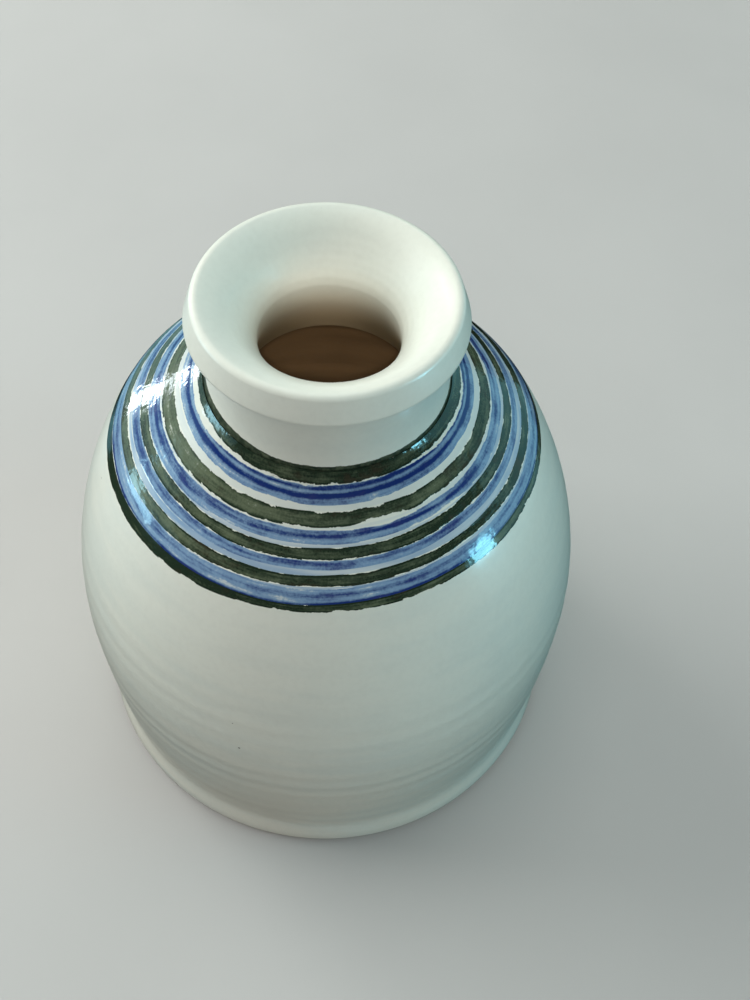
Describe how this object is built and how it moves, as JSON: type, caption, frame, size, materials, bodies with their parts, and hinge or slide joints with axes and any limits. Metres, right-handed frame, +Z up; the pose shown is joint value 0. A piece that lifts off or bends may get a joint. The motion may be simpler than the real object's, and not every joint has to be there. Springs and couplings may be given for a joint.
{
  "type": "ceramic bud vase",
  "caption": "Squat hand-thrown vase with a domed shoulder ringed by brushed colour bands, a short collared neck, a rounded lip and a narrow throat that holds a few stems",
  "frame": {"origin": "centre of the foot, on the plane that the vase stands on", "axes": "+Z up along the axis of the pot, out of the mouth; +X and +Y across it, with the pictured side facing -Y"},
  "size_m": [0.096, 0.096, 0.1096],
  "materials": {
    "bare_clay": "unglazed fired stoneware, matte, finely gritty",
    "white_glaze": "ivory white satin glaze with tiny pinholes and faint throwing rings",
    "liner_glaze": "thin brown liner glaze, satin",
    "green_glaze": "dark grey-green brushed glaze, glossy, streaked",
    "blue_glaze": "cobalt blue brushed glaze, glossy, watery and streaked"
  },
  "bodies": {
    "root": {"clay_body": "bare_clay", "clay_neck": "bare_clay", "body_glaze": "white_glaze", "shoulder_glaze": "white_glaze", "neck_glaze": "white_glaze", "liner_glaze": "liner_glaze", "green_band_1": "green_glaze", "green_band_2": "green_glaze", "green_band_3": "green_glaze", "green_band_4": "green_glaze", "green_band_5": "green_glaze", "blue_band_1": "blue_glaze", "blue_band_2": "blue_glaze", "blue_band_3": "blue_glaze", "blue_band_4": "blue_glaze"}
  },
  "joints": []
}
